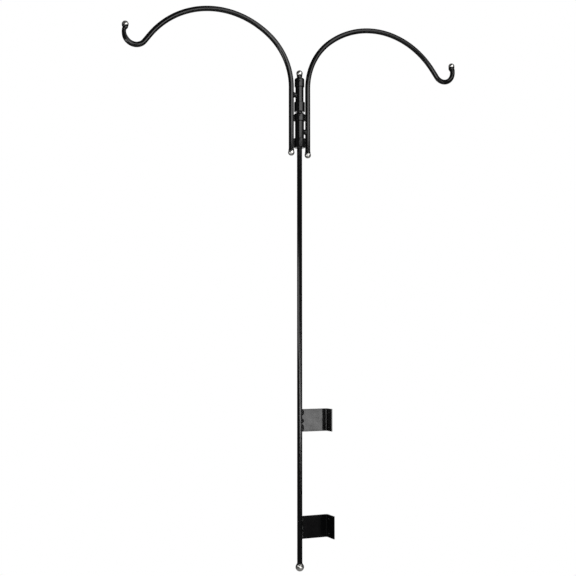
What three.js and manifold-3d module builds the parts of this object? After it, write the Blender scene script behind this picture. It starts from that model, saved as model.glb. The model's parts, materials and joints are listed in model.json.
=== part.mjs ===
// A hanging plant stand: a steel pole with two swivelling hook arms and two wall brackets.
// Millimetres and degrees, +Z up. Both arms lie along X, and the brackets' flanges face +X.
// The origin is the middle of the upper bracket's flange, on the face that meets the wall.

import * as THREE from 'three';
import { mergeVertices } from 'three/addons/utils/BufferGeometryUtils.js';
import Module from 'manifold-3d';

// ---- Sizes ---------------------------------------------------------------------------------

// Round bar: the pole and both arms are cut from the same stock.
const barDiameter = 16;
const ballDiameter = 20;
const footBallDiameter = 26;

// The hook balls sit a little off the bar's centre, towards the inside of the hook.
const hookBallOffset = 3.6;

// Weld fillet under each ball: the angle below the ball's equator where it ends, its thickness on
// the ball, and the height in which it leans over to a ball that is off centre.
const weldLipAngle = 26;
const hookWeldLipAngle = 10;
const weldThickness = 0.8;
const weldLeanHeight = 3;

// Brackets: bent plates, placed by the height of their middle above the pole's lower end.
const lowerBracketHeight = 105;
const upperBracketHeight = 429;
const bracketReach = 95;
const upperBracketDepth = 36;
const lowerBracketDepth = 50;
const bracketHeight = 69;
const bracketThickness = 4;
const bendInnerRadius = 3;
const screwHoleDiameter = 6.5;
const screwHoleSpacing = 44.5;
const screwHoleInset = 18;

// Weld beads between a bracket and the pole, placed from the plate's edges and from its middle.
const topBeadInset = 9.5;
const topBeadLength = 18.5;
const middleBeadDrop = 1;
const middleBeadLength = 13;
const bottomBeadInset = 11.5;
const bottomBeadLength = 22.5;
const beadWidth = 5.5;

// Swivels. Each arm's sleeve turns on the pole between two fixed collars, the right arm's below
// the left arm's. Spacing is between the two swivels, neck is the pole left bare above them.
const swivelHeight = 1270;
const swivelSpacing = 4.9;
const neckLength = 4.5;
const collarNoseRound = 6;
const collarFootRound = 2;
const collarEdgeRound = 1.5;

const rightCollarDiameter = 35;
const rightBottomCollarLength = 30.2;
const rightBottomScrewDrop = 5.5;
const rightSleeveDiameter = 28;
const rightSleeveLength = 53;
const rightTopCollarLength = 24.5;
const rightTopScrewDrop = 8.5;
const rightStubDrop = 6.1;
const rightTailDrop = 10.1;

const leftBottomCollarDiameter = 33.5;
const leftBottomCollarLength = 30.4;
const leftBottomScrewDrop = 14.5;
const leftSleeveDiameter = 25.5;
const leftSleeveLength = 47;
const leftTopCollarDiameter = 30.5;
const leftTopCollarLength = 28.4;
const leftTopScrewDrop = 12;
const leftStubDrop = 2.2;
const leftTailDrop = 5.6;

// Set screws: a hexagon socket screw in each collar, turned to the left of straight forward.
const setScrewDiameter = 5.4;
const setScrewRecess = 1.2;
const socketWidth = 3;
const socketDepth = 3;
const setScrewAzimuth = 25;

// Arms: bent in one plane, as seen from the side. Turns are angles of bend, and the azimuths
// are the ways the arms point at rest.
const armClearance = 2.5;
const shoulderDrop = 31;
const shoulderRadius = 197;
const shoulderTurn = 51.2;
const crownRadius = 268;
const crownTurn = 91.5;
const throatLength = 25;
const hookRadius = 34.4;
const tipLength = 11.3;
const rightArmAzimuth = -0.7;
const leftArmAzimuth = 180;

// Stub: the short waisted spacer welded between an arm and its sleeve, an upright oval. Its
// width is a share of its height.
const stubEndHeight = 20;
const stubWaistHeight = 17;
const stubWaistShare = 0.2;
const stubWidthShare = 0.7;

// Fits.
const touchGap = 0.3;
const runningGap = 0.4;

// Roundness.
const roundSides = 36;
const barSides = 16;
const ballSides = 20;
const smallSides = 20;
const beadSides = 14;
const bendStep = 5.5;

// ---- Worked out from the sizes ---------------------------------------------------------------

const barRadius = barDiameter / 2;
const collarBoreRadius = barRadius + touchGap;
const sleeveBoreRadius = barRadius + runningGap;
const armOffset = rightCollarDiameter / 2 + armClearance + barRadius;

// Stacks one swivel from its underside: collar, sleeve and collar, a small gap apart.
function stackSwivel(swivel, base) {
  const sleeveBase = base + swivel.bottomCollar.length + touchGap;
  const topCollarBase = sleeveBase + swivel.sleeveLength + touchGap;
  return { ...swivel, base, sleeveBase, topCollarBase, top: topCollarBase + swivel.topCollar.length };
}

const rightSwivel = stackSwivel({
  bottomCollar: {
    diameter: rightCollarDiameter,
    length: rightBottomCollarLength,
    topRound: collarEdgeRound,
    bottomRound: collarFootRound,
    screwDrop: rightBottomScrewDrop,
    screwTurn: 0,
  },
  topCollar: {
    diameter: rightCollarDiameter,
    length: rightTopCollarLength,
    topRound: collarNoseRound,
    bottomRound: collarEdgeRound,
    screwDrop: rightTopScrewDrop,
    screwTurn: 0,
  },
  sleeveDiameter: rightSleeveDiameter,
  sleeveLength: rightSleeveLength,
  stubDrop: rightStubDrop,
  tailDrop: rightTailDrop,
}, swivelHeight);

// The left arm's bottom collar has its set screw on the back.
const leftSwivel = stackSwivel({
  bottomCollar: {
    diameter: leftBottomCollarDiameter,
    length: leftBottomCollarLength,
    topRound: collarEdgeRound,
    bottomRound: collarEdgeRound,
    screwDrop: leftBottomScrewDrop,
    screwTurn: 180,
  },
  topCollar: {
    diameter: leftTopCollarDiameter,
    length: leftTopCollarLength,
    topRound: collarNoseRound,
    bottomRound: collarEdgeRound,
    screwDrop: leftTopScrewDrop,
    screwTurn: 0,
  },
  sleeveDiameter: leftSleeveDiameter,
  sleeveLength: leftSleeveLength,
  stubDrop: leftStubDrop,
  tailDrop: leftTailDrop,
}, rightSwivel.top + swivelSpacing);
const poleLength = leftSwivel.top + neckLength;
const shoulderHeight = leftSwivel.top - shoulderDrop;

// ---- Finishes --------------------------------------------------------------------------------

const blackCoat = { color: 0x121213, roughness: 0.32, metalness: 0.0 };
const polishedSteel = { color: 0xd9d9d6, roughness: 0.12, metalness: 1.0 };
const blackOxide = { color: 0x1b1b1d, roughness: 0.5, metalness: 0.8 };

function makeMesh(name, geometry, finish) {
  const mesh = new THREE.Mesh(geometry, new THREE.MeshStandardMaterial(finish));
  mesh.name = name;
  return mesh;
}

// ---- Solids ----------------------------------------------------------------------------------

const wasm = await Module();
wasm.setup();

function toSolid(geometry) {
  const bare = geometry.clone();
  bare.deleteAttribute('normal');
  bare.deleteAttribute('uv');
  const merged = mergeVertices(bare, 1e-4);
  const vertProperties = new Float32Array(merged.attributes.position.array);
  const triVerts = new Uint32Array(merged.index.array);
  return new wasm.Manifold(new wasm.Mesh({ numProp: 3, vertProperties, triVerts }));
}

function toGeometry(solid) {
  const mesh = solid.getMesh();
  const geometry = new THREE.BufferGeometry();
  geometry.setAttribute('position', new THREE.BufferAttribute(mesh.vertProperties, 3));
  geometry.setIndex(new THREE.BufferAttribute(mesh.triVerts, 1));
  geometry.computeVertexNormals();
  return geometry;
}

// Adds the geometries up into one solid, then takes the cutters away from it.
function carve(geometries, cutters) {
  const start = geometries.map(toSolid).reduce((whole, next) => whole.add(next));
  return toGeometry(cutters.map(toSolid).reduce((whole, next) => whole.subtract(next), start));
}

// A closed profile of [radius, height] points, anticlockwise, turned about the Z axis.
function turnProfile(profile, sides = roundSides) {
  const points = [...profile, profile[0]].map(([radius, height]) => new THREE.Vector2(radius, height));
  return new THREE.LatheGeometry(points, sides).rotateX(Math.PI / 2);
}

// An upright round bar from one height to another.
function uprightBar(radius, bottom, top, sides = roundSides) {
  const bar = new THREE.CylinderGeometry(radius, radius, top - bottom, sides);
  return bar.rotateX(Math.PI / 2).translate(0, 0, (bottom + top) / 2);
}

// A round bar along X from one place to another.
function levelBar(radius, start, end, sides = roundSides) {
  const bar = new THREE.CylinderGeometry(radius, radius, end - start, sides);
  return bar.rotateZ(Math.PI / 2).translate((start + end) / 2, 0, 0);
}

// Points of a quarter round, from one angle to another, as [radius, height] pairs.
function arcPoints(centreRadius, centreHeight, radius, fromDegrees, toDegrees, steps) {
  return Array.from({ length: steps + 1 }, (_, step) => {
    const angle = THREE.MathUtils.degToRad(fromDegrees + ((toDegrees - fromDegrees) * step) / steps);
    return [centreRadius + radius * Math.cos(angle), centreHeight + radius * Math.sin(angle)];
  });
}

// ---- Balls and their welds -------------------------------------------------------------------

// A ball beyond the end of an upright bar, and the weld fillet that fills the corner under it.
// up is 1 on a bar's upper end and -1 on its lower end. The ball may sit off centre, towards -X,
// and then the fillet leans over to it.
function makeBallEnd(name, diameter, endHeight, up, offset = 0, lipAngle = weldLipAngle) {
  const radius = diameter / 2;
  const seatRadius = radius + touchGap;
  const weldRadius = seatRadius + weldThickness;
  const neckAngle = THREE.MathUtils.radToDeg(Math.acos(barRadius / weldRadius));
  const cup = arcPoints(0, seatRadius, weldRadius, -neckAngle, -lipAngle, 4);
  const lipHeight = cup[cup.length - 1][1];
  const fillet = turnProfile([[0, touchGap], [barRadius, touchGap], ...cup, [0, lipHeight]], ballSides);
  const places = fillet.attributes.position;
  for (let index = 0; index < places.count; index += 1) {
    const lean = THREE.MathUtils.clamp((places.getZ(index) - touchGap) / weldLeanHeight, 0, 1);
    places.setX(index, places.getX(index) - offset * lean);
  }
  const [ball, seat] = [radius, seatRadius].map((size) =>
    new THREE.SphereGeometry(size, ballSides, ballSides / 2)
      .rotateX(Math.PI / 2)
      .translate(-offset, 0, seatRadius));
  const group = new THREE.Group();
  group.add(
    makeMesh(name, ball, polishedSteel),
    makeMesh(`${name}_weld`, carve([fillet], [seat]), blackCoat),
  );
  group.position.z = endHeight;
  group.rotation.x = up > 0 ? 0 : Math.PI;
  return group;
}

// ---- Collars, sleeves and set screws ---------------------------------------------------------

function makeCollar(name, collar, base) {
  const radius = collar.diameter / 2;
  const top = collar.length;
  const profile = [
    [collarBoreRadius, 0],
    ...arcPoints(radius - collar.bottomRound, collar.bottomRound, collar.bottomRound, -90, 0, 3),
    ...arcPoints(radius - collar.topRound, top - collar.topRound, collar.topRound, 0, 90, 4),
    [collarBoreRadius, top],
  ];
  const screwHeight = top - collar.screwDrop;
  const screwHole = levelBar(setScrewDiameter / 2 + touchGap, 0, collar.diameter, smallSides);
  const ring = carve([turnProfile(profile)], [screwHole.translate(0, 0, screwHeight)]);

  const screwStart = barRadius + touchGap;
  const screwEnd = radius - setScrewRecess;
  const shank = levelBar(setScrewDiameter / 2, screwStart, screwEnd, smallSides);
  const socket = levelBar(socketWidth / Math.sqrt(3), screwEnd - socketDepth, collar.diameter, 6);
  const screw = carve([shank], [socket]).translate(0, 0, screwHeight);

  const group = new THREE.Group();
  group.add(makeMesh(name, ring, blackCoat), makeMesh(`${name}_set_screw`, screw, blackOxide));
  group.position.z = base;
  group.rotation.z = THREE.MathUtils.degToRad(-90 - setScrewAzimuth + collar.screwTurn);
  return group;
}

function makeSleeve(name, swivel) {
  const radius = swivel.sleeveDiameter / 2;
  const bottom = swivel.sleeveBase;
  const top = bottom + swivel.sleeveLength;
  const profile = [[sleeveBoreRadius, bottom], [radius, bottom], [radius, top], [sleeveBoreRadius, top]];
  return makeMesh(name, turnProfile(profile), blackCoat);
}

// ---- Arms ------------------------------------------------------------------------------------

// The centre line of a bent bar in the XZ plane. Its stations are as close as its bends need.
class BentLine extends THREE.Curve {
  constructor(x, z) {
    super();
    this.heading = Math.PI / 2;
    this.stations = [];
    this.addStation(x, z);
  }

  addStation(x, z) {
    this.x = x;
    this.z = z;
    this.stations.push({ point: new THREE.Vector3(x, 0, z), heading: this.heading });
  }

  straight(length) {
    this.addStation(this.x + length * Math.cos(this.heading), this.z + length * Math.sin(this.heading));
    return this;
  }

  // Bends by a turn in degrees: over to +X when it is positive.
  bend(radius, turn) {
    const steps = Math.ceil(Math.abs(turn) / bendStep);
    const part = THREE.MathUtils.degToRad(turn) / steps;
    const chord = 2 * radius * Math.sin(Math.abs(part) / 2);
    for (let step = 0; step < steps; step += 1) {
      const along = this.heading - part / 2;
      this.heading -= part;
      this.addStation(this.x + chord * Math.cos(along), this.z + chord * Math.sin(along));
    }
    return this;
  }

  getPoint(t) {
    const place = t * (this.stations.length - 1);
    const before = this.stations[Math.floor(place)].point;
    const after = this.stations[Math.ceil(place)].point;
    return before.clone().lerp(after, place % 1);
  }

  getPointAt(t) {
    return this.getPoint(t);
  }

  getTangentAt(t) {
    const { heading } = this.stations[Math.round(t * (this.stations.length - 1))];
    return new THREE.Vector3(Math.cos(heading), 0, Math.sin(heading));
  }
}

function makeArmRod(name, swivel) {
  const tailEnd = rightSwivel.base - swivel.tailDrop;
  const line = new BentLine(armOffset, tailEnd)
    .straight(shoulderHeight - tailEnd)
    .bend(shoulderRadius, shoulderTurn)
    .bend(crownRadius, crownTurn)
    .straight(throatLength)
    .bend(hookRadius, -(shoulderTurn + crownTurn))
    .straight(tipLength);
  const section = new THREE.Shape();
  for (let side = 0; side < barSides; side += 1) {
    const angle = (side / barSides) * Math.PI * 2;
    const corner = [barRadius * Math.cos(angle), barRadius * Math.sin(angle)];
    if (side === 0) {
      section.moveTo(...corner);
    } else {
      section.lineTo(...corner);
    }
  }
  const geometry = new THREE.ExtrudeGeometry(section, {
    steps: line.stations.length - 1,
    extrudePath: line,
  });
  return { mesh: makeMesh(name, geometry, blackCoat), tailEnd, tipX: line.x, tipEnd: line.z };
}

function makeStub(name, swivel) {
  const height = swivel.sleeveBase + swivel.sleeveLength / 2 - swivel.stubDrop;
  const sleeveRadius = swivel.sleeveDiameter / 2;
  const middle = (sleeveRadius + armOffset - barRadius) / 2;
  const halfLength = armOffset - middle;
  const ends = stubEndHeight / 2;
  const waist = stubWaistHeight / 2;
  const shoulder = [(ends + waist) / 2, halfLength * stubWaistShare];
  const profile = [
    [0, -halfLength],
    [ends, -halfLength],
    [shoulder[0], -shoulder[1]],
    [waist, 0],
    shoulder,
    [ends, halfLength],
    [0, halfLength],
  ];
  const spindle = turnProfile(profile, smallSides)
    .rotateY(Math.PI / 2)
    .scale(1, stubWidthShare, 1)
    .translate(middle, 0, height);
  const span = stubEndHeight;
  const sleeveCutter = uprightBar(sleeveRadius + touchGap, height - span, height + span);
  const rodCutter = uprightBar(barRadius + touchGap, height - span, height + span, barSides * 2);
  const geometry = carve([spindle], [sleeveCutter, rodCutter.translate(armOffset, 0, 0)]);
  return makeMesh(name, geometry, blackCoat);
}

// An arm with its sleeve, reaching out along +X before it is turned about the pole.
function makeArm(side, swivel, azimuth) {
  const group = new THREE.Group();
  const rod = makeArmRod(`${side}_arm_rod`, swivel);
  const tail = makeBallEnd(`${side}_tail_ball`, ballDiameter, rod.tailEnd, -1);
  const hook = makeBallEnd(
    `${side}_hook_ball`, ballDiameter, rod.tipEnd, 1, hookBallOffset, hookWeldLipAngle,
  );
  tail.position.x = armOffset;
  hook.position.x = rod.tipX;
  group.add(rod.mesh, makeStub(`${side}_arm_stub`, swivel), makeSleeve(`${side}_sleeve`, swivel));
  group.add(tail, hook);
  group.rotation.z = THREE.MathUtils.degToRad(azimuth);
  return group;
}

// ---- Brackets --------------------------------------------------------------------------------

// The plate seen from above: the web runs from the pole to the bend, the flange comes forward.
function makeBracket(name, height, depth) {
  const half = bracketThickness / 2;
  const outer = bendInnerRadius + bracketThickness;
  const front = half - depth;
  const innerX = bracketReach - bracketThickness;
  const outline = new THREE.Shape();
  outline.moveTo(0, half);
  outline.lineTo(0, -half);
  outline.lineTo(innerX - bendInnerRadius, -half);
  outline.absarc(innerX - bendInnerRadius, -half - bendInnerRadius, bendInnerRadius, Math.PI / 2, 0, true);
  outline.lineTo(innerX, front);
  outline.lineTo(bracketReach, front);
  outline.lineTo(bracketReach, half - outer);
  outline.absarc(bracketReach - outer, half - outer, outer, 0, Math.PI / 2, false);
  const plate = new THREE.ExtrudeGeometry(outline, {
    depth: bracketHeight,
    bevelEnabled: false,
    curveSegments: 6,
  }).translate(0, 0, -bracketHeight / 2);
  const poleCutter = uprightBar(barRadius + touchGap, -bracketHeight, bracketHeight);
  const holes = [-1, 1].map((side) =>
    levelBar(screwHoleDiameter / 2, innerX - bracketThickness, bracketReach + bracketThickness, smallSides)
      .translate(0, half - screwHoleInset, (side * screwHoleSpacing) / 2));
  const mesh = makeMesh(name, carve([plate], [poleCutter, ...holes]), blackCoat);
  mesh.position.z = height;
  return mesh;
}

// Beads in the two corners between the pole and the plate's front and back, from the top down.
function makeBracketWelds(name, height) {
  const beads = [
    { height: bracketHeight / 2 - topBeadInset, length: topBeadLength },
    { height: -middleBeadDrop, length: middleBeadLength },
    { height: bottomBeadInset - bracketHeight / 2, length: bottomBeadLength },
  ];
  const poleCutter = uprightBar(barRadius + touchGap, -bracketHeight, bracketHeight);
  const group = new THREE.Group();
  for (const [face, side] of [['front', -1], ['back', 1]]) {
    const plateFace = (side * bracketThickness) / 2;
    const plateCutter = new THREE.BoxGeometry(bracketReach, bracketReach, bracketHeight * 2)
      .translate(bracketReach / 2, plateFace + side * (touchGap - bracketReach / 2), 0);
    beads.forEach((bead, index) => {
      const lump = new THREE.SphereGeometry(1, beadSides, beadSides / 2).rotateX(Math.PI / 2);
      lump.scale(beadWidth, beadWidth, bead.length / 2);
      lump.translate(barRadius, plateFace, bead.height);
      const geometry = carve([lump], [poleCutter, plateCutter]);
      group.add(makeMesh(`${name}_${face}_${index + 1}`, geometry, blackCoat));
    });
  }
  group.position.z = height;
  return group;
}

// ---- Assembly --------------------------------------------------------------------------------

// Built about the pole, with its lower end at height zero, then moved to the wall face.
const stand = new THREE.Group();

stand.add(
  makeMesh('pole', uprightBar(barRadius, 0, poleLength), blackCoat),
  makeBallEnd('pole_top_ball', ballDiameter, poleLength, 1),
  makeBallEnd('pole_foot_ball', footBallDiameter, 0, -1),
);

for (const [place, height, depth] of [
  ['lower', lowerBracketHeight, lowerBracketDepth],
  ['upper', upperBracketHeight, upperBracketDepth],
]) {
  stand.add(
    makeBracket(`${place}_bracket`, height, depth),
    makeBracketWelds(`${place}_bracket_weld`, height),
  );
}

for (const [side, swivel, azimuth] of [
  ['left', leftSwivel, leftArmAzimuth],
  ['right', rightSwivel, rightArmAzimuth],
]) {
  stand.add(
    makeCollar(`${side}_arm_bottom_collar`, swivel.bottomCollar, swivel.base),
    makeCollar(`${side}_arm_top_collar`, swivel.topCollar, swivel.topCollarBase),
    makeArm(side, swivel, azimuth),
  );
}

stand.position.set(-bracketReach, upperBracketDepth / 2 - bracketThickness / 2, -upperBracketHeight);

export default stand;
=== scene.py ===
import json
import math

import bmesh
import bpy
from mathutils import Matrix, Vector, noise

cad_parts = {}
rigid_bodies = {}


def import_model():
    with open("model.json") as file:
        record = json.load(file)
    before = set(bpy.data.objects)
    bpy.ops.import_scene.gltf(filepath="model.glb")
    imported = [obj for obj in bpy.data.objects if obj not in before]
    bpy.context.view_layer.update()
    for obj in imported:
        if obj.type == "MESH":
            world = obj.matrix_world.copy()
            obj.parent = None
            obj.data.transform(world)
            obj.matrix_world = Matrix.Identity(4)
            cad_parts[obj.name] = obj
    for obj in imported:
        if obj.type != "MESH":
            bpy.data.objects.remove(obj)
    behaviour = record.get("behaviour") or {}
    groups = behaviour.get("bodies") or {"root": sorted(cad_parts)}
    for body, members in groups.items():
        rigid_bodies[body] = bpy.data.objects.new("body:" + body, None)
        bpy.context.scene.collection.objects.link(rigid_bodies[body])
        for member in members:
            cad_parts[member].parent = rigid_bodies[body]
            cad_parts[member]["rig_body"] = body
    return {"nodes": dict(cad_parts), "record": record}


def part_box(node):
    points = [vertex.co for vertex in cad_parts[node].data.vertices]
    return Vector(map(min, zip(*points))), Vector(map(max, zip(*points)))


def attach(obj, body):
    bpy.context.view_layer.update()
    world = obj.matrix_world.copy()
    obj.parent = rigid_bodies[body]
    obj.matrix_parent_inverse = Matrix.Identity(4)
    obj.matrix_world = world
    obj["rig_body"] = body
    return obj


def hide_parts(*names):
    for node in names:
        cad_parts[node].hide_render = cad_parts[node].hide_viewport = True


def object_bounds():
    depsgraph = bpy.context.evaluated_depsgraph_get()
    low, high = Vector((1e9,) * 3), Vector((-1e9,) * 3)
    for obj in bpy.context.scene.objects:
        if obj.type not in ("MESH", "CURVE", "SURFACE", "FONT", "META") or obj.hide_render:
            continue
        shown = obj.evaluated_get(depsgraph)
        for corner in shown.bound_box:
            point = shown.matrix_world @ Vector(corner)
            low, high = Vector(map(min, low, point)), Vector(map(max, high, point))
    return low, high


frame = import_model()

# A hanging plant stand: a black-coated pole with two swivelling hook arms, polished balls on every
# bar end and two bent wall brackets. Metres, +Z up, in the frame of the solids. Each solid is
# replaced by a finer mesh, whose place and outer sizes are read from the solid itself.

CAD_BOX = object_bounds()
MM = 0.001

# ---- Sizes that a solid's box can't tell -----------------------------------------------------

TOUCH_GAP = 0.3 * MM
RUNNING_GAP = 0.4 * MM

# The edges of bores and of bar ends.
FINE_EDGE = 0.35 * MM

# Arms: where the bends begin under the top of the upper swivel, then each bend in turn.
SHOULDER_DROP = 31 * MM
SHOULDER_RADIUS = 197 * MM
SHOULDER_TURN = 51.2
CROWN_RADIUS = 268 * MM
CROWN_TURN = 91.5
THROAT_LENGTH = 25 * MM
HOOK_RADIUS = 34.4 * MM
TIP_LENGTH = 11.3 * MM

# Ball welds: the angle below the ball's equator where the paint ends, the thickness on the ball, an
# extra swell at the neck, how far down the bar the weld begins, and the radius of the upright wall
# under a hook's ball, which sits off the bar's centre. The foot's weld is slight.
WELD = {"lip": 33, "thickness": 1.1 * MM, "swell": 0.9 * MM, "start": 2.2 * MM, "wall": 0}
HOOK_WELDS = {
    "left": {"lip": 18, "thickness": 1.1 * MM, "swell": 0, "start": 7 * MM, "wall": 8.2 * MM},
    "right": {"lip": 18, "thickness": 1.1 * MM, "swell": 0, "start": 8 * MM, "wall": 9.7 * MM},
}
FOOT_WELD = {"lip": 42, "thickness": 0.5 * MM, "swell": 0.2 * MM, "start": 0.8 * MM, "wall": 0}
HOOK_WELD_SHOULDER = 0.8 * MM

# The share of its thickness that a ball weld loses on the way to its lip, how far its first ring is
# tucked into the bar, and how far each ring past the lip sinks into the ball.
WELD_FEATHER = 0.75
WELD_TUCK = 0.5 * MM
WELD_SINK = 0.6 * MM

# The left hook's bar is a little thinner under its ball, and tapers inside the ball's weld.
NECK_SHARE = {"left": 0.80, "right": 0.98}
NECK_DROP = 12 * MM
NECK_SPREAD = 22 * MM
TAPER_SHARE = {"left": 0.78, "right": 1}
TAPER_LENGTH = 8 * MM

# Collars, sleeves and set screws.
COLLAR_NOSE = 6 * MM
COLLAR_FOOT = 2 * MM
COLLAR_EDGE = 1.5 * MM
SLEEVE_EDGE = 0.5 * MM
SCREW_RADIUS = 2.7 * MM
SCREW_RECESS = 1.2 * MM
SCREW_EDGE = 0.35 * MM
SCREW_HOLE_OVERLAP = 1 * MM
SOCKET_MOUTH = 3.36 * MM
SOCKET_LEAD = 0.25 * MM
SOCKET_WIDTH = 3 * MM
SOCKET_DEPTH = 3 * MM
SOCKET_TIP_DEPTH = 3.45 * MM

# Stubs between the sleeves and the arms: upright ovals, sunk into both, that flare out near each
# end, where a weld bead goes round them.
STUB_WAIST_SHARE = 0.85
STUB_WIDTH_SHARE = 0.7
STUB_FLARE_POWER = 1.6
STUB_IN_SLEEVE = 1.5 * MM
STUB_IN_ARM = 3 * MM
SLEEVE_BEAD = 2.1 * MM
ARM_BEAD = 3.2 * MM

# Brackets: each web begins inside the pole, at a share of the bar's radius.
WEB_START_SHARE = 0.6
PLATE = 4 * MM
BEND_INNER = 3 * MM
PLATE_EDGE = 0.55 * MM
HOLE_RADIUS = 3.25 * MM
HOLE_SPACING = 44.5 * MM
HOLE_INSET = 18 * MM
BEAD_WIDTH = 5.5 * MM

# Unevenness of the welds. A lump is how high the smooth bumps are, its size how wide, and its circle
# where their noise is read. The height is an angle on a ball weld's lip, a share of the thickness on
# ball welds and saddle beads, and a length on stubs and bracket beads. A bead's body is what is left
# of it between its regular ripples, which are called scallops and crests.
LIP_LUMP = 0.05
LIP_LUMP_SIZE = 2.2 * MM
LIP_LUMP_CIRCLE = 4 * MM
WELD_LUMP = 0.2
WELD_LUMP_SIZE = 3.2 * MM
STUB_LUMP = 0.35 * MM
STUB_LUMP_SIZE = 2.6 * MM
STUB_LUMP_CIRCLE = 5 * MM
STUB_LUMP_LENGTH = 3
SADDLE_BODY = 0.82
SADDLE_SCALLOP = 0.16
SADDLE_SCALLOPS = 18
SADDLE_LUMP = 0.12
SADDLE_LUMP_SIZE = 4 * MM
BEAD_BODY = 0.84
BEAD_CREST = 0.10
BEAD_PITCH = 2.4 * MM
BEAD_TAPER_POWER = 0.8
BEAD_LUMP = 0.3 * MM
BEAD_LUMP_SIZE = 3 * MM

# Fineness of the meshes: sides round a section, steps along a piece or an arc, and degrees of bend.
BAR_SIDES = 64
RING_SIDES = 128
BALL_SIDES = 96
SCREW_SIDES = 48
SADDLE_SIDES = 16
BEAD_SIDES = 28
STUB_STEPS = 28
SADDLE_STEPS = 96
BEAD_STEPS = 40
SLEEVE_ARC_STEPS = 5
COLLAR_ARC_STEPS = 8
BRACKET_ARC_STEPS = 12
PLATE_EDGE_STEPS = 3
WELD_BAR_STEPS = 6
WELD_BALL_STEPS = 14
WELD_SINK_STEPS = 2
WELD_CALM_STEPS = 4
BEND_STEP = 1.25

# Angles from which an edge is sharp: on turned and bent pieces, where pieces are fused, and on
# rippled welds. Then the angle from which a plate's edge is rounded.
SHARP_ANGLE = math.radians(32)
FUSED_ANGLE = math.radians(50)
RIPPLED_ANGLE = math.radians(60)
PLATE_EDGE_ANGLE = math.radians(40)
MERGE_DISTANCE = 1e-7

# Camera, found from the picture: both arms are one shape, one coming nearer and one going away.
IMAGE_PIXELS = 576
FOCAL_PIXELS = 1007.5
CAMERA_DISTANCE = 3.1
CAMERA_AZIMUTH = 24.748
CAMERA_HEADING = 24.087
CAMERA_HEIGHT = 0.2337
CAMERA_PITCH = 3.176
SENSOR_WIDTH = 36.0


# ---- What the frame says ---------------------------------------------------------------------

def points(node):
    return [vertex.co for vertex in frame["nodes"][node].data.vertices]


def centre(node):
    low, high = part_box(node)
    return (low + high) / 2


def radius_about(node, axis):
    """How far the solid reaches from an upright axis through that point."""
    return max((point - axis).xy.length for point in points(node))


POLE_AXIS = centre("pole")
BAR_RADIUS = radius_about("pole", POLE_AXIS)
SLOT_OF = {part["node"]: part["material_slot"] for part in frame["record"]["subparts"]}


def body_of(node):
    return frame["nodes"][node]["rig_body"]


def on_axis(z):
    """The point of the pole's axis at that height."""
    return Vector((POLE_AXIS.x, POLE_AXIS.y, z))


# ---- Meshes ----------------------------------------------------------------------------------

def finish_mesh(name, verts, faces, sharp=SHARP_ANGLE):
    """A smooth-shaded object from points and faces, with its faces pointing out."""
    mesh = bpy.data.meshes.new(name)
    mesh.from_pydata(verts, [], faces)
    edit = bmesh.new()
    edit.from_mesh(mesh)
    bmesh.ops.remove_doubles(edit, verts=edit.verts, dist=MERGE_DISTANCE)
    bmesh.ops.recalc_face_normals(edit, faces=edit.faces)
    edit.to_mesh(mesh)
    edit.free()
    mesh.shade_smooth()
    mesh.set_sharp_from_angle(angle=sharp)
    piece = bpy.data.objects.new(name, mesh)
    bpy.context.scene.collection.objects.link(piece)
    return piece


def loft(name, rings, closed=False, sharp=SHARP_ANGLE):
    """Joins rings of points, one after the other. Open ends get a flat cap."""
    count = len(rings[0])
    verts = [point for ring in rings for point in ring]
    faces = []
    for index in range(len(rings) if closed else len(rings) - 1):
        here = index * count
        there = (index + 1) % len(rings) * count
        for side in range(count):
            following = (side + 1) % count
            faces.append((here + side, here + following, there + following, there + side))
    if not closed:
        faces.append(tuple(reversed(range(count))))
        faces.append(tuple(range(len(verts) - count, len(verts))))
    return finish_mesh(name, verts, faces, sharp)


def circle(sides):
    """Unit vectors round a circle, as (cosine, sine) pairs."""
    turns = (2 * math.pi * side / sides for side in range(sides))
    return [(math.cos(turn), math.sin(turn)) for turn in turns]


def level_ring(place, radius, height, sides):
    """A circle of points about the local Z axis of place."""
    return [place @ Vector((radius * c, radius * s, height)) for c, s in circle(sides)]


def turned(name, profile, place, sides=RING_SIDES, closed=False, sharp=SHARP_ANGLE):
    """Turns a profile of (radius, height) points about the local Z axis of place."""
    rings = [level_ring(place, radius, height, sides) for radius, height in profile]
    return loft(name, rings, closed, sharp)


def rounded(corners, steps):
    """A closed outline from (x, y, round) corners, each corner replaced by an arc."""
    outline = []
    for index, (x, y, radius) in enumerate(corners):
        corner = Vector((x, y))
        before = (Vector(corners[index - 1][:2]) - corner).normalized()
        after = (Vector(corners[(index + 1) % len(corners)][:2]) - corner).normalized()
        if radius == 0:
            outline.append((x, y))
            continue
        half = before.angle(after) / 2
        middle = corner + (before + after).normalized() * radius / math.sin(half)
        start = corner + before * radius / math.tan(half) - middle
        end = corner + after * radius / math.tan(half) - middle
        sweep = start.angle_signed(end)
        for step in range(steps + 1):
            arm = start.copy()
            arm.rotate(Matrix.Rotation(-sweep * step / steps, 2))
            outline.append(tuple(middle + arm))
    return outline


def along(start, direction):
    """A place whose local Z axis points along a direction."""
    return Matrix.Translation(start) @ direction.to_track_quat("Z", "Y").to_matrix().to_4x4()


def combine(piece, other, operation, sharp=SHARP_ANGLE):
    """Takes another closed mesh away from the piece or fuses it into the piece, and deletes it."""
    modifier = piece.modifiers.new("combine", "BOOLEAN")
    modifier.operation = operation
    modifier.solver = "EXACT"
    modifier.object = other
    apply_modifiers(piece)
    bpy.data.objects.remove(other)
    piece.data.shade_smooth()
    piece.data.set_sharp_from_angle(angle=sharp)


def apply_modifiers(piece):
    depsgraph = bpy.context.evaluated_depsgraph_get()
    mesh = bpy.data.meshes.new_from_object(piece.evaluated_get(depsgraph))
    piece.modifiers.clear()
    piece.data = mesh


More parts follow.
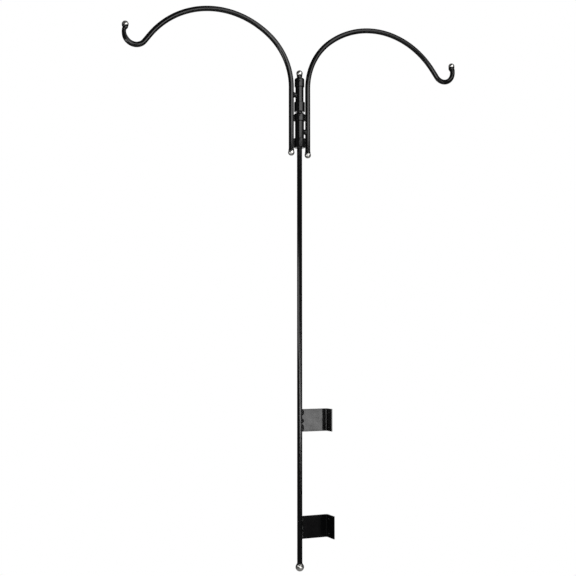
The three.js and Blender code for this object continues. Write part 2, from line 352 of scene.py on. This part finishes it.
def flatten_shading(piece):
    """Keeps flat faces and straight walls flat right up to their rounded edges."""
    modifier = piece.modifiers.new("shading", "WEIGHTED_NORMAL")
    modifier.keep_sharp = True
    apply_modifiers(piece)


def smooth(share):
    """Eases a share from 0 to 1 in and out."""
    return share * share * (3 - 2 * share)


def ripple(point, size, seed):
    """Smooth noise from -1 to 1 whose bumps are about that size."""
    return noise.noise(point / size + Vector((seed, seed * 0.7, seed * 0.3)))


# ---- Materials -------------------------------------------------------------------------------

class Material:
    """A node material under construction: a Principled shader and object coordinates in metres."""

    def __init__(self, name, **sockets):
        self.material = bpy.data.materials.new(name)
        self.material.use_nodes = True
        self.nodes = self.material.node_tree.nodes
        self.links = self.material.node_tree.links
        self.shader = self.nodes["Principled BSDF"]
        self.coordinates = self.nodes.new("ShaderNodeTexCoord").outputs["Object"]
        for socket, value in sockets.items():
            self.shader.inputs[socket.replace("_", " ")].default_value = value

    def noise(self, cell, detail=2.0, roughness=0.5):
        """Noise whose cells are about that many metres across."""
        texture = self.nodes.new("ShaderNodeTexNoise")
        texture.inputs["Scale"].default_value = 1 / cell
        texture.inputs["Detail"].default_value = detail
        texture.inputs["Roughness"].default_value = roughness
        self.links.new(self.coordinates, texture.inputs["Vector"])
        return texture.outputs["Fac"]

    def spread(self, value, low, high, from_low=0.3, from_high=0.7):
        """Maps the middle of a noise's range to a range of numbers."""
        node = self.nodes.new("ShaderNodeMapRange")
        node.inputs["From Min"].default_value = from_low
        node.inputs["From Max"].default_value = from_high
        node.inputs["To Min"].default_value = low
        node.inputs["To Max"].default_value = high
        self.links.new(value, node.inputs["Value"])
        return node.outputs["Result"]

    def blend_colours(self, share, first, second):
        node = self.nodes.new("ShaderNodeMix")
        node.data_type = "RGBA"
        node.inputs["A"].default_value = (*first, 1)
        node.inputs["B"].default_value = (*second, 1)
        self.links.new(share, node.inputs["Factor"])
        return node.outputs["Result"]

    def bump(self, *layers):
        """Stacks bumps, each a (height, metres) pair."""
        normal = None
        for height, distance in layers:
            node = self.nodes.new("ShaderNodeBump")
            node.inputs["Distance"].default_value = distance
            self.links.new(height, node.inputs["Height"])
            if normal is not None:
                self.links.new(normal, node.inputs["Normal"])
            normal = node.outputs["Normal"]
        self.links.new(normal, self.shader.inputs["Normal"])

    def set(self, socket, value):
        self.links.new(value, self.shader.inputs[socket])


def black_coat():
    """Gloss powder coat: a soft unevenness in the gloss and a fine orange peel."""
    coat = Material("gloss_black_coat", Specular_IOR_Level=0.4)
    deep, pale = (0.002, 0.002, 0.0022), (0.004, 0.004, 0.0042)
    tone = coat.spread(coat.noise(60 * MM, detail=3), 0, 1)
    coat.set("Base Color", coat.blend_colours(tone, deep, pale))
    coat.set("Roughness", coat.spread(coat.noise(22 * MM, detail=3), 0.11, 0.16))
    peel = coat.noise(1.8 * MM, detail=1.5)
    swell = coat.noise(9 * MM, detail=1)
    coat.bump((swell, 0.008 * MM), (peel, 0.003 * MM))
    return coat.material


def polished_steel():
    """Mirror-polished steel with a hint of warm tone and very fine polishing marks."""
    steel = Material("polished_steel_ball", Metallic=1.0)
    bright, dim = (0.80, 0.79, 0.76), (0.70, 0.69, 0.66)
    tone = steel.spread(steel.noise(9 * MM, detail=3), 0, 1)
    steel.set("Base Color", steel.blend_colours(tone, bright, dim))
    steel.set("Roughness", steel.spread(steel.noise(3 * MM, detail=5, roughness=0.65), 0.22, 0.30))
    marks = steel.noise(0.5 * MM, detail=3)
    swell = steel.noise(5 * MM, detail=1)
    steel.bump((swell, 0.012 * MM), (marks, 0.001 * MM))
    return steel.material


def black_oxide():
    """Blackened screw steel: dull, a little worn and streaked."""
    oxide = Material("black_oxide_screw", Metallic=0.85)
    black, worn = (0.028, 0.028, 0.03), (0.11, 0.105, 0.10)
    wear = oxide.noise(1.2 * MM, detail=5, roughness=0.65)
    rubbed = oxide.spread(wear, 0, 1, from_low=0.45, from_high=0.8)
    oxide.set("Base Color", oxide.blend_colours(rubbed, black, worn))
    oxide.set("Roughness", oxide.spread(wear, 0.34, 0.55))
    oxide.bump((oxide.noise(0.6 * MM, detail=2), 0.01 * MM))
    return oxide.material


FINISHES = {
    "black_coat": black_coat(),
    "polished_steel": polished_steel(),
    "black_oxide_steel": black_oxide(),
}


def dress(piece, node):
    """Puts a piece in a solid's place: its body, its slot and its finish."""
    piece.data.materials.clear()
    piece.data.materials.append(FINISHES[SLOT_OF[node]])
    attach(piece, body_of(node))
    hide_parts(node)


# ---- Pole ------------------------------------------------------------------------------------

def make_pole():
    low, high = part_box("pole")
    edge = FINE_EDGE
    profile = [
        (0, low.z),
        (BAR_RADIUS - edge, low.z),
        (BAR_RADIUS, low.z + edge),
        (BAR_RADIUS, high.z - edge),
        (BAR_RADIUS - edge, high.z),
        (0, high.z),
    ]
    pole = turned("pole_bar", profile, Matrix.Translation(on_axis(0)), BAR_SIDES)
    flatten_shading(pole)
    dress(pole, "pole")


# ---- Balls and their welds -------------------------------------------------------------------

def make_ball(node):
    low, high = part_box(node)
    radius = (high.z - low.z) / 2
    steps = BALL_SIDES // 2
    profile = []
    for step in range(steps + 1):
        angle = math.pi * (step / steps - 0.5)
        profile.append((radius * math.cos(angle), radius * math.sin(angle)))
    place = Matrix.Translation(centre(node))
    ball = turned(f"{node}_polished", profile, place, BALL_SIDES, sharp=math.pi)
    dress(ball, node)
    return centre(node), radius


def make_ball_weld(node, weld=WELD):
    """The fillet under a ball: starts on the bar, swells and feathers out on the ball, leaning over
    to a ball that is off the bar's centre. Its surface and its lip are a little uneven."""
    ball, radius = make_ball(node)
    up = 1 if ball.z > centre(f"{node}_weld").z else -1
    bar, bar_radius = bar_near(node, weld["start"])
    bar_end = ball.z - up * (radius + TOUCH_GAP)
    rings = []
    for step in range(-WELD_BAR_STEPS, WELD_BALL_STEPS + WELD_SINK_STEPS + 1):
        calm = min(1, (step + WELD_BAR_STEPS) / WELD_CALM_STEPS)
        ring = []
        for c, s in circle(BAR_SIDES):
            around = Vector((c, s, 0))
            lip_lump = LIP_LUMP * ripple(around * LIP_LUMP_CIRCLE, LIP_LUMP_SIZE, seed=ball.x * 9)
            lip = math.radians(weld["lip"]) + lip_lump
            reach, rise = weld_section(weld, radius, bar_radius, step, lip)
            lean = min(1, max(0, 1 + rise / weld["start"]))
            axis = bar.lerp(ball.xy.to_3d(), lean)
            point = Vector((axis.x, axis.y, bar_end + up * rise)) + around * reach
            lump = WELD_LUMP * weld["thickness"] * ripple(point, WELD_LUMP_SIZE, seed=5) * calm
            ring.append(point + around * lump)
        rings.append(ring)
    fillet = loft(f"{node}_fillet", rings, sharp=RIPPLED_ANGLE)
    dress(fillet, f"{node}_weld")


def weld_section(weld, radius, bar_radius, step, lip):
    """One point of a ball weld's section, as its reach from the axis and its rise over the bar's
    end: up the bar to step 0, from there round the ball to the lip, and then into the ball."""
    level = radius + TOUCH_GAP
    outer = radius + weld["thickness"]
    if weld["wall"]:
        neck = math.asin((level - HOOK_WELD_SHOULDER) / outer)
    else:
        neck = math.acos(BAR_RADIUS / outer)
    if step <= 0:
        share = (step + WELD_BAR_STEPS) / WELD_BAR_STEPS
        neck_reach = max(outer * math.cos(neck), weld["wall"]) + weld["swell"]
        neck_rise = level - outer * math.sin(neck)
        tuck = WELD_TUCK if share == 0 else 0
        reach = bar_radius + (neck_reach - bar_radius) * smooth(share) - tuck
        return reach, -weld["start"] + share * (weld["start"] + neck_rise)
    if step <= WELD_BALL_STEPS:
        share = step / WELD_BALL_STEPS
        angle = neck + (lip - neck) * share
        shell = outer - WELD_FEATHER * weld["thickness"] * share ** 2
        reach = max(shell * math.cos(angle), weld["wall"]) + weld["swell"] * (1 - share)
        return reach, level - shell * math.sin(angle)
    shell = outer - WELD_FEATHER * weld["thickness"] - WELD_SINK * (step - WELD_BALL_STEPS)
    return shell * math.cos(lip), level - shell * math.sin(lip)


def bar_near(node, below):
    """The bar that carries a ball: its axis, as a point at height zero, and its radius that far
    under its end."""
    side = node.split("_")[0]
    if side == "pole":
        return POLE_AXIS.xy.to_3d(), BAR_RADIUS
    if "tail" in node:
        return centre(node).xy.to_3d(), BAR_RADIUS
    arm = Arm(side)
    return arm.tip.xy.to_3d(), arm.thickness(arm.tip - Vector((0, 0, below)))


# ---- Collars, sleeves and set screws ---------------------------------------------------------

def make_collar(node, top_round, bottom_round):
    """A shaft collar with a hole for its set screw. Its wall is three rows of faces high."""
    low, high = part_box(node)
    radius = radius_about(node, POLE_AXIS)
    bore = BAR_RADIUS + TOUCH_GAP
    height = high.z - low.z
    outline = rounded([
        (bore, 0, FINE_EDGE),
        (radius, 0, bottom_round),
        (radius, height / 3, 0),
        (radius, height * 2 / 3, 0),
        (radius, height, top_round),
        (bore, height, FINE_EDGE),
    ], COLLAR_ARC_STEPS)
    collar = turned(f"{node}_ring", outline, Matrix.Translation(on_axis(low.z)), closed=True)
    screw = centre(f"{node}_set_screw")
    outward = (screw - POLE_AXIS).xy.to_3d().normalized()
    place = along(on_axis(screw.z), outward)
    combine(collar, screw_hole_cutter(place, bore - SCREW_HOLE_OVERLAP, radius), "DIFFERENCE")
    flatten_shading(collar)
    dress(collar, node)
    make_set_screw(f"{node}_set_screw", place, radius - SCREW_RECESS)


def screw_hole_cutter(place, start, surface):
    """What a set screw's hole takes out, from its start to past a collar's surface, with a chamfered
    mouth."""
    hole = SCREW_RADIUS + TOUCH_GAP
    past = 2 * SCREW_EDGE
    return turned("cutter", [
        (0, start),
        (hole, start),
        (hole, surface - SCREW_EDGE),
        (hole + SCREW_EDGE + past, surface + past),
        (0, surface + past),
    ], place, SCREW_SIDES)


def make_set_screw(node, place, end):
    """A headless screw with chamfered ends and a hexagon socket."""
    start = BAR_RADIUS + TOUCH_GAP
    rings = [level_ring(place, radius, height, SCREW_SIDES) for radius, height in [
        (SCREW_RADIUS - SCREW_EDGE, start),
        (SCREW_RADIUS, start + SCREW_EDGE),
        (SCREW_RADIUS, end - SCREW_EDGE),
        (SCREW_RADIUS - SCREW_EDGE, end),
    ]]
    rings += [hexagon_ring(place, width, height) for width, height in [
        (SOCKET_MOUTH, end),
        (SOCKET_WIDTH, end - SOCKET_LEAD),
        (SOCKET_WIDTH, end - SOCKET_DEPTH),
        (0, end - SOCKET_TIP_DEPTH),
    ]]
    screw = loft(f"{node}_body", rings)
    flatten_shading(screw)
    dress(screw, node)


def hexagon_ring(place, width, height):
    """Points round a hexagon of that width across its flats, about the local Z axis of place."""
    sextant = math.pi / 3
    ring = []
    for side, (c, s) in enumerate(circle(SCREW_SIDES)):
        turn = 2 * math.pi * side / SCREW_SIDES
        reach = width / 2 / math.cos(turn % sextant - sextant / 2)
        ring.append(place @ Vector((reach * c, reach * s, height)))
    return ring


def make_sleeve(node):
    low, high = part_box(node)
    radius = radius_about(node, POLE_AXIS)
    bore = BAR_RADIUS + RUNNING_GAP
    height = high.z - low.z
    outline = rounded([
        (bore, 0, FINE_EDGE),
        (radius, 0, SLEEVE_EDGE),
        (radius, height, SLEEVE_EDGE),
        (bore, height, FINE_EDGE),
    ], SLEEVE_ARC_STEPS)
    sleeve = turned(f"{node}_tube", outline, Matrix.Translation(on_axis(low.z)), closed=True)
    flatten_shading(sleeve)
    dress(sleeve, node)


# ---- Arms ------------------------------------------------------------------------------------

class Arm:
    """The centre line of one bent arm, in its own upright plane through the pole."""

    def __init__(self, side):
        tail = centre(f"{side}_tail_ball")
        hook = centre(f"{side}_hook_ball")
        self.out = (hook - POLE_AXIS).xy.to_3d().normalized()
        self.across = self.out.cross(Vector((0, 0, 1)))
        self.offset = (tail - POLE_AXIS).xy.length
        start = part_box(f"{side}_arm_rod")[0].z
        self.stations = []
        self.r = self.offset
        self.z = start
        self.heading = math.pi / 2
        self.station()
        self.straight(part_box("left_arm_top_collar")[1].z - SHOULDER_DROP - start)
        self.bend(SHOULDER_RADIUS, SHOULDER_TURN)
        self.bend(CROWN_RADIUS, CROWN_TURN)
        self.straight(THROAT_LENGTH)
        self.bend(HOOK_RADIUS, -(SHOULDER_TURN + CROWN_TURN))
        self.straight(TIP_LENGTH)
        self.tip = self.place(self.r, self.z)
        self.neck = NECK_SHARE[side]
        self.taper = TAPER_SHARE[side]

    def place(self, r, z):
        return on_axis(z) + self.out * r

    def station(self):
        self.stations.append((self.place(self.r, self.z), self.heading))

    def straight(self, length):
        self.r += length * math.cos(self.heading)
        self.z += length * math.sin(self.heading)
        self.station()

    def bend(self, radius, turn):
        steps = math.ceil(abs(turn) / BEND_STEP)
        part = math.radians(turn) / steps
        chord = 2 * radius * math.sin(abs(part) / 2)
        for _ in range(steps):
            heading = self.heading - part / 2
            self.heading -= part
            self.r += chord * math.cos(heading)
            self.z += chord * math.sin(heading)
            self.station()

    def thickness(self, point):
        """The bar's radius at a point of the centre line: a little less near the hook's tip."""
        from_tip = (point - self.tip).length
        away = min(1, max(0, from_tip - NECK_DROP) / NECK_SPREAD)
        up_the_taper = min(1, from_tip / TAPER_LENGTH)
        neck = self.neck + (1 - self.neck) * smooth(away)
        return BAR_RADIUS * neck * (self.taper + (1 - self.taper) * up_the_taper)

    def ring(self, point, heading, cut_back=0):
        """A section of the bar, square to its heading and smaller by the cut back."""
        level = self.out * -math.sin(heading) + Vector((0, 0, math.cos(heading)))
        radius = self.thickness(point) - cut_back
        return [point + (self.across * c + level * s) * radius for c, s in circle(BAR_SIDES)]


def make_arm_rod(side):
    arm = Arm(side)
    start, start_heading = arm.stations[0]
    tip, tip_heading = arm.stations[-1]
    tip_start = arm.stations[-2][0]
    lift = Vector((0, 0, FINE_EDGE))
    rings = [
        arm.ring(start, start_heading, FINE_EDGE),
        arm.ring(start + lift, start_heading),
    ]
    for point, heading in arm.stations[1:-1]:
        rings.append(arm.ring(point, heading))
    for quarter in (1, 2, 3):
        rings.append(arm.ring(tip_start.lerp(tip, quarter / 4), tip_heading))
    rings.append(arm.ring(tip - lift, tip_heading))
    rings.append(arm.ring(tip, tip_heading, FINE_EDGE))
    rod = loft(f"{side}_arm_bar", rings)
    dress(rod, f"{side}_arm_rod")


def make_stub(side):
    """The waisted spacer between sleeve and arm, with a rippled weld bead round each end."""
    node = f"{side}_arm_stub"
    arm = Arm(side)
    low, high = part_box(node)
    level = (low.z + high.z) / 2
    end_radius = (high.z - low.z) / 2
    sleeve_radius = radius_about(f"{side}_sleeve", POLE_AXIS)
    inner = sleeve_radius - STUB_IN_SLEEVE
    outer = arm.offset - BAR_RADIUS + STUB_IN_ARM
    rings = []
    for step in range(STUB_STEPS + 1):
        share = step / STUB_STEPS
        flare = abs(2 * share - 1) ** STUB_FLARE_POWER
        r = inner + (outer - inner) * share
        reach = end_radius * (STUB_WAIST_SHARE + (1 - STUB_WAIST_SHARE) * flare)
        ring = []
        for c, s in circle(BAR_SIDES):
            spot = Vector((c, s, share * STUB_LUMP_LENGTH)) * STUB_LUMP_CIRCLE
            lump = STUB_LUMP * flare * ripple(spot, STUB_LUMP_SIZE, seed=arm.out.x + 3)
            around = arm.across * c * STUB_WIDTH_SHARE + Vector((0, 0, s))
            ring.append(arm.place(r, level) + around * (reach + lump))
        rings.append(ring)
    stub = loft(f"{side}_arm_spacer", rings, sharp=RIPPLED_ANGLE)
    for surface_radius, surface_centre, facing, thickness in [
        (sleeve_radius, 0, 1, SLEEVE_BEAD),
        (BAR_RADIUS, arm.offset, -1, ARM_BEAD),
    ]:
        reach = end_radius - thickness
        bead = saddle_bead(arm, level, reach, surface_radius, surface_centre, facing, thickness)
        combine(stub, bead, "UNION", FUSED_ANGLE)
    dress(stub, node)


def saddle_bead(arm, level, reach, surface_radius, surface_centre, facing, thickness):
    """A closed rippled bead that lies in the corner between a level spindle and an upright bar."""
    outward = arm.out * facing
    rings = []
    for c, s in circle(SADDLE_STEPS):
        across = reach * STUB_WIDTH_SHARE * c
        out = surface_centre + facing * math.sqrt(max(surface_radius ** 2 - across ** 2, 0))
        middle = arm.place(out, level) + arm.across * across + Vector((0, 0, reach * s))
        around = arm.across * c + Vector((0, 0, s))
        scallop = SADDLE_SCALLOP * abs(math.sin(math.atan2(s, c) * SADDLE_SCALLOPS / 2))
        lump = SADDLE_LUMP * ripple(middle, SADDLE_LUMP_SIZE, seed=2)
        thick = thickness * (SADDLE_BODY + scallop + lump)
        rings.append([middle + (around * p + outward * q) * thick for p, q in circle(SADDLE_SIDES)])
    return loft("bead", rings, closed=True, sharp=RIPPLED_ANGLE)


# ---- Brackets --------------------------------------------------------------------------------

def make_bracket(place):
    """A bent plate: the web runs from the pole to the bend, the flange comes forward."""
    node = f"{place}_bracket"
    low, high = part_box(node)
    front, back, wall = low.y, high.y, high.x
    web_front = back - PLATE
    start = POLE_AXIS.x + BAR_RADIUS * WEB_START_SHARE
    outline = rounded([
        (start, web_front, 0),
        (wall - PLATE, web_front, BEND_INNER),
        (wall - PLATE, front, 0),
        (wall, front, 0),
        (wall, back, BEND_INNER + PLATE),
        (start, back, 0),
    ], BRACKET_ARC_STEPS)
    rings = [[Vector((x, y, z)) for x, y in outline] for z in (low.z, high.z)]
    plate = loft(f"{place}_bracket_plate", rings)
    middle = (low.z + high.z) / 2
    for side in (-1, 1):
        hole = Vector((wall - 2 * PLATE, back - HOLE_INSET, middle + side * HOLE_SPACING / 2))
        drill = [(0, 0), (HOLE_RADIUS, 0), (HOLE_RADIUS, 4 * PLATE), (0, 4 * PLATE)]
        cutter = turned("cutter", drill, along(hole, Vector((1, 0, 0))), SCREW_SIDES)
        combine(plate, cutter, "DIFFERENCE")
    bevel = plate.modifiers.new("edge", "BEVEL")
    bevel.width = PLATE_EDGE
    bevel.segments = PLATE_EDGE_STEPS
    bevel.limit_method = "ANGLE"
    bevel.angle_limit = PLATE_EDGE_ANGLE
    apply_modifiers(plate)
    plate.data.set_sharp_from_angle(angle=SHARP_ANGLE)
    flatten_shading(plate)
    dress(plate, node)
    for face, side in (("front", -1), ("back", 1)):
        corner = Vector((POLE_AXIS.x + BAR_RADIUS, web_front if side < 0 else back, 0))
        for number in (1, 2, 3):
            make_bead(f"{node}_weld_{face}_{number}", corner, side)


def make_bead(node, corner, side):
    """A weld bead in an upright corner: overlapping ripples under the coat, tapered at both ends."""
    low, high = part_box(node)
    middle = (low.z + high.z) / 2
    half = (high.z - low.z) / 2
    rings = []
    for step in range(1, BEAD_STEPS):
        share = 2 * step / BEAD_STEPS - 1
        z = middle + half * share
        swell = math.sqrt(1 - share ** 2)
        crest = BEAD_CREST * abs(math.sin(math.pi * z / BEAD_PITCH + node_seed(node)))
        reach = BEAD_WIDTH * swell ** BEAD_TAPER_POWER * (BEAD_BODY + crest)
        ring = []
        for c, s in circle(BEAD_SIDES):
            point = Vector((corner.x + reach * c, corner.y + reach * s, z))
            lump = BEAD_LUMP * swell * ripple(point, BEAD_LUMP_SIZE, seed=1 + side)
            ring.append(point + Vector((c, s, 0)) * lump)
        rings.append(ring)
    bead = loft(f"{node}_bead", rings, sharp=RIPPLED_ANGLE)
    dress(bead, node)


def node_seed(node):
    """A small number from a name, so that no two neighbouring beads ripple alike."""
    return sum(ord(letter) for letter in node) % 7


# ---- The stand -------------------------------------------------------------------------------

make_pole()
make_ball_weld("pole_top_ball")
make_ball_weld("pole_foot_ball", FOOT_WELD)

for side in ("left", "right"):
    make_arm_rod(side)
    make_stub(side)
    make_sleeve(f"{side}_sleeve")
    make_ball_weld(f"{side}_tail_ball")
    make_ball_weld(f"{side}_hook_ball", HOOK_WELDS[side])
    make_collar(f"{side}_arm_top_collar", COLLAR_NOSE, COLLAR_EDGE)
make_collar("left_arm_bottom_collar", COLLAR_EDGE, COLLAR_EDGE)
make_collar("right_arm_bottom_collar", COLLAR_EDGE, COLLAR_FOOT)

for place in ("upper", "lower"):
    make_bracket(place)


# ---- Studio ----------------------------------------------------------------------------------

# How bright the world is in a reflection: within a cone about the line from the camera through the
# stand, beside that cone, and further round. Each cone is soft between its outer and inner angle.
SWEEP_LIGHT = 0.7
BESIDE_LIGHT = 0.02
AROUND_LIGHT = 0.085
SWEEP_CONE = {"outer": 26, "inner": 14}
BESIDE_CONE = {"outer": 75, "inner": 60}

# How bright it is on what it lights, and to the camera itself.
AMBIENT_LIGHT = 0.15
SHOWN_LIGHT = 1.0

# The floor: half its width, how far under the stand it lies, and how white the camera sees it.
FLOOR_HALF = 3.0
FLOOR_DROP = 1.2
FLOOR_WHITE_SHARE = 0.85


def direction_from_camera_side(degrees):
    """A level direction from the stand, that many degrees to the camera's right of the camera."""
    azimuth = math.radians(CAMERA_AZIMUTH - degrees)
    return Vector((-math.sin(azimuth), -math.cos(azimuth), 0))


def softbox(name, bearing, distance, low, high, half_spread, radiance):
    """A soft upright rectangle of light that faces the pole, from low to high and that many degrees
    to each side of its bearing, as the pole sees it."""
    outward = direction_from_camera_side(bearing)
    width = 2 * distance * math.tan(math.radians(half_spread))
    height = high - low
    light = bpy.data.lights.new(name, "AREA")
    light.shape = "RECTANGLE"
    light.size = width
    light.size_y = height
    light.energy = radiance * math.pi * width * height
    lamp = bpy.data.objects.new(name, light)
    lamp.location = on_axis((low + high) / 2) + outward * distance
    lamp.rotation_euler = outward.to_track_quat("Z", "Y").to_euler()
    bpy.context.scene.collection.objects.link(lamp)


def make_lights():
    softbox("key_softbox", bearing=20, distance=1.1, low=1.08, high=1.45, half_spread=23, radiance=3.4)
    softbox("side_softbox", bearing=54, distance=1.35, low=1.15, high=2.8, half_spread=17, radiance=1.9)
    softbox("low_softbox", bearing=16, distance=4.0, low=-0.5, high=-0.16, half_spread=9, radiance=8.2)
    softbox("middle_softbox", bearing=11, distance=4.0, low=-0.16, high=0.22, half_spread=14, radiance=8.2)
    softbox("web_softbox", bearing=50, distance=4.0, low=-0.45, high=-0.16, half_spread=14, radiance=6.2)
    softbox("left_softbox", bearing=-47, distance=1.4, low=0.2, high=0.62, half_spread=25, radiance=2.8)


def make_world():
    """White to the camera, and for reflections a bright sweep behind the stand; dim elsewhere."""
    world = bpy.data.worlds.new("studio")
    bpy.context.scene.world = world
    world.use_nodes = True
    nodes, links = world.node_tree.nodes, world.node_tree.links
    nodes.clear()
    output = nodes.new("ShaderNodeOutputWorld")
    path = nodes.new("ShaderNodeLightPath")

    def background(strength):
        node = nodes.new("ShaderNodeBackground")
        node.inputs["Color"].default_value = (1, 1, 1, 1)
        node.inputs["Strength"].default_value = strength
        return node.outputs["Background"]

    def choose(share, first, second):
        node = nodes.new("ShaderNodeMixShader")
        links.new(share, node.inputs["Fac"])
        links.new(first, node.inputs[1])
        links.new(second, node.inputs[2])
        return node.outputs["Shader"]

    # How straight behind the stand a direction points, as the cosine of its angle.
    dot = nodes.new("ShaderNodeVectorMath")
    dot.operation = "DOT_PRODUCT"
    dot.inputs[1].default_value = -direction_from_camera_side(0)
    links.new(nodes.new("ShaderNodeTexCoord").outputs["Generated"], dot.inputs[0])

    def cone(outer, inner):
        edge = nodes.new("ShaderNodeMapRange")
        edge.interpolation_type = "SMOOTHSTEP"
        edge.inputs["From Min"].default_value = math.cos(math.radians(outer))
        edge.inputs["From Max"].default_value = math.cos(math.radians(inner))
        links.new(dot.outputs["Value"], edge.inputs["Value"])
        return edge.outputs["Result"]

    beside = choose(cone(**BESIDE_CONE), background(AROUND_LIGHT), background(BESIDE_LIGHT))
    reflected = choose(cone(**SWEEP_CONE), beside, background(SWEEP_LIGHT))
    mirror = nodes.new("ShaderNodeMath")
    mirror.operation = "MAXIMUM"
    links.new(path.outputs["Is Glossy Ray"], mirror.inputs[0])
    links.new(path.outputs["Is Transmission Ray"], mirror.inputs[1])
    lit = choose(mirror.outputs["Value"], background(AMBIENT_LIGHT), reflected)
    shown = choose(path.outputs["Is Camera Ray"], lit, background(SHOWN_LIGHT))
    links.new(shown, output.inputs["Surface"])


def lighten_for_camera(pale, share):
    """Shows that share of a floor as plain white to the camera, and the rest as it is lit."""
    path = pale.nodes.new("ShaderNodeLightPath")
    amount = pale.nodes.new("ShaderNodeMath")
    amount.operation = "MULTIPLY"
    amount.inputs[1].default_value = share
    pale.links.new(path.outputs["Is Camera Ray"], amount.inputs[0])
    white = pale.nodes.new("ShaderNodeEmission")
    mix = pale.nodes.new("ShaderNodeMixShader")
    pale.links.new(amount.outputs["Value"], mix.inputs["Fac"])
    pale.links.new(pale.shader.outputs["BSDF"], mix.inputs[1])
    pale.links.new(white.outputs["Emission"], mix.inputs[2])
    pale.links.new(mix.outputs["Shader"], pale.nodes["Material Output"].inputs["Surface"])


def make_floor():
    """A plain pale floor, well below the stand, which hangs on its brackets."""
    level = CAD_BOX[0][2] - FLOOR_DROP
    corners = [(-1, -1), (1, -1), (1, 1), (-1, 1)]
    verts = [(x * FLOOR_HALF, y * FLOOR_HALF, level) for x, y in corners]
    floor = finish_mesh("floor", verts, [(0, 1, 2, 3)])
    pale = Material("pale_floor")
    pale.set("Base Color", pale.blend_colours(pale.noise(0.4), (0.86, 0.86, 0.86), (0.9, 0.9, 0.9)))
    pale.set("Roughness", pale.spread(pale.noise(0.2), 0.7, 0.8))
    lighten_for_camera(pale, FLOOR_WHITE_SHARE)
    floor.data.materials.append(pale.material)


def make_camera():
    data = bpy.data.cameras.new("photo_camera")
    data.sensor_width = SENSOR_WIDTH
    data.lens = FOCAL_PIXELS / IMAGE_PIXELS * SENSOR_WIDTH
    camera = bpy.data.objects.new("photo_camera", data)
    camera.location = on_axis(CAMERA_HEIGHT) + direction_from_camera_side(0) * CAMERA_DISTANCE
    camera.rotation_euler = (math.radians(90 + CAMERA_PITCH), 0, -math.radians(CAMERA_HEADING))
    bpy.context.scene.collection.objects.link(camera)
    bpy.context.scene.camera = camera


make_camera()
make_lights()
make_world()
make_floor()
bpy.context.scene.view_settings.view_transform = "Standard"
